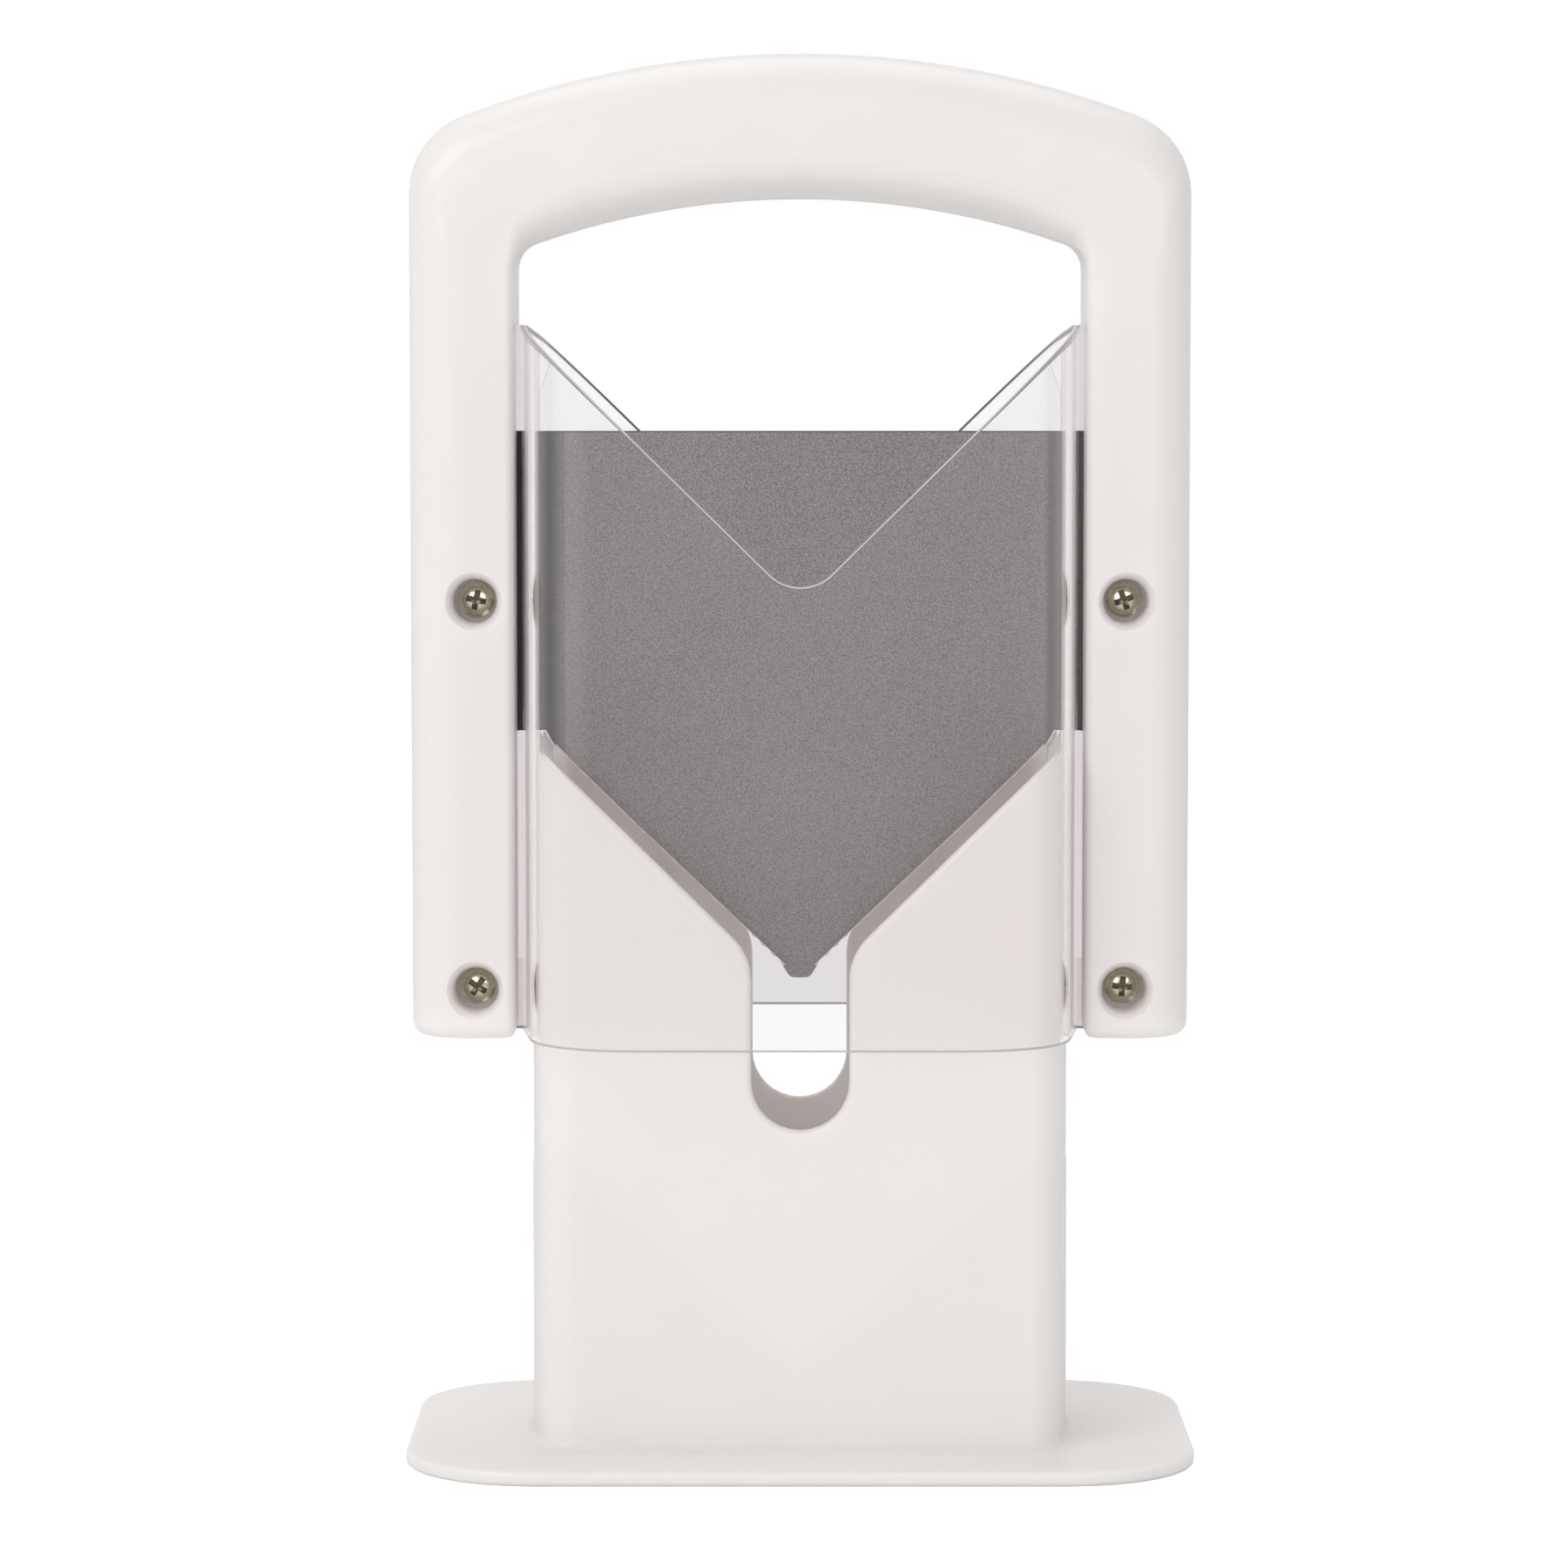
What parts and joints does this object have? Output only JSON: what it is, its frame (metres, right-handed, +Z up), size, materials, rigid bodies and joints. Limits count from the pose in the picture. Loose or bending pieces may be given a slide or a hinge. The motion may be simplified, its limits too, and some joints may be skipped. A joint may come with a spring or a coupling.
{
  "type": "bagel guillotine slicer",
  "caption": "Bagel slicer: a pocket holder on a foot plate, with a handle frame that slides down over it and carries a V-shaped scalloped blade between clear guards.",
  "frame": {"origin": "middle of the foot plate's footprint, on the table", "axes": "+Z up, front at -Y, +X to the right as seen from the front; rest pose is the handle raised as pictured"},
  "size_m": [0.132, 0.085, 0.2351],
  "materials": {
    "white_plastic": "smooth satin gloss, warm white",
    "coated_steel": "speckled dark grey non-stick coating",
    "clear_plastic": "clear, polished, edges look grey",
    "screw_steel": "nickel plated"
  },
  "bodies": {
    "base": {"holder": "white_plastic"},
    "cutter": {"handle_front": "white_plastic", "handle_rear": "white_plastic", "blade": "coated_steel", "guard_front": "clear_plastic", "guard_rear": "clear_plastic", "screw_upper_left": "screw_steel", "screw_upper_right": "screw_steel", "screw_lower_left": "screw_steel", "screw_lower_right": "screw_steel"}
  },
  "joints": [
    {"name": "cutter_slide", "type": "slide", "parent": "base", "child": "cutter", "axis": [0, 0, 1], "range_m": [-0.0671, 0.055]}
  ]
}
